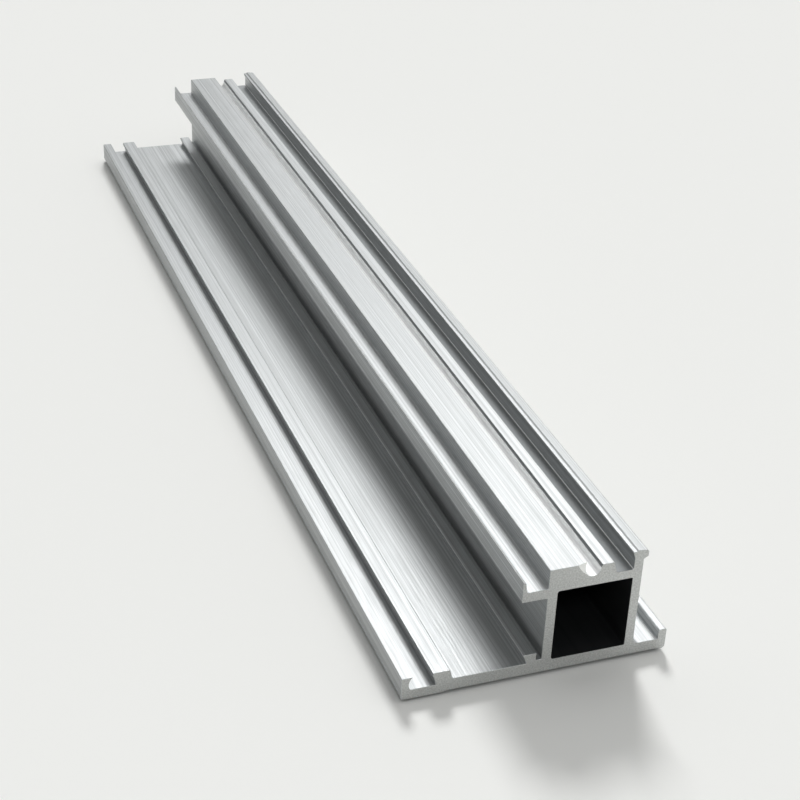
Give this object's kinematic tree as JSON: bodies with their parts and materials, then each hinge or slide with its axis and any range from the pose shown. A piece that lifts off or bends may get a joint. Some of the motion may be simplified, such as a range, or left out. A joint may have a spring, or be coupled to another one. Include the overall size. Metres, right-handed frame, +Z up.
{
  "type": "aluminium extrusion profile",
  "caption": "Extruded aluminium bar: flat base with an undercut gasket slot and a hook rib, square tube with a channelled side arm, screw groove and snap head.",
  "frame": {"origin": "middle of the bar's underside, at the centre of its width and length", "axes": "+Y along the bar towards its far end, +X from the gasket slot towards the flange, +Z up from the base"},
  "size_m": [0.06, 0.3, 0.0271],
  "materials": {
    "mill_aluminium": "satin, with fine die lines along the bar"
  },
  "bodies": {
    "root": {"profile_bar": "mill_aluminium"}
  },
  "joints": []
}
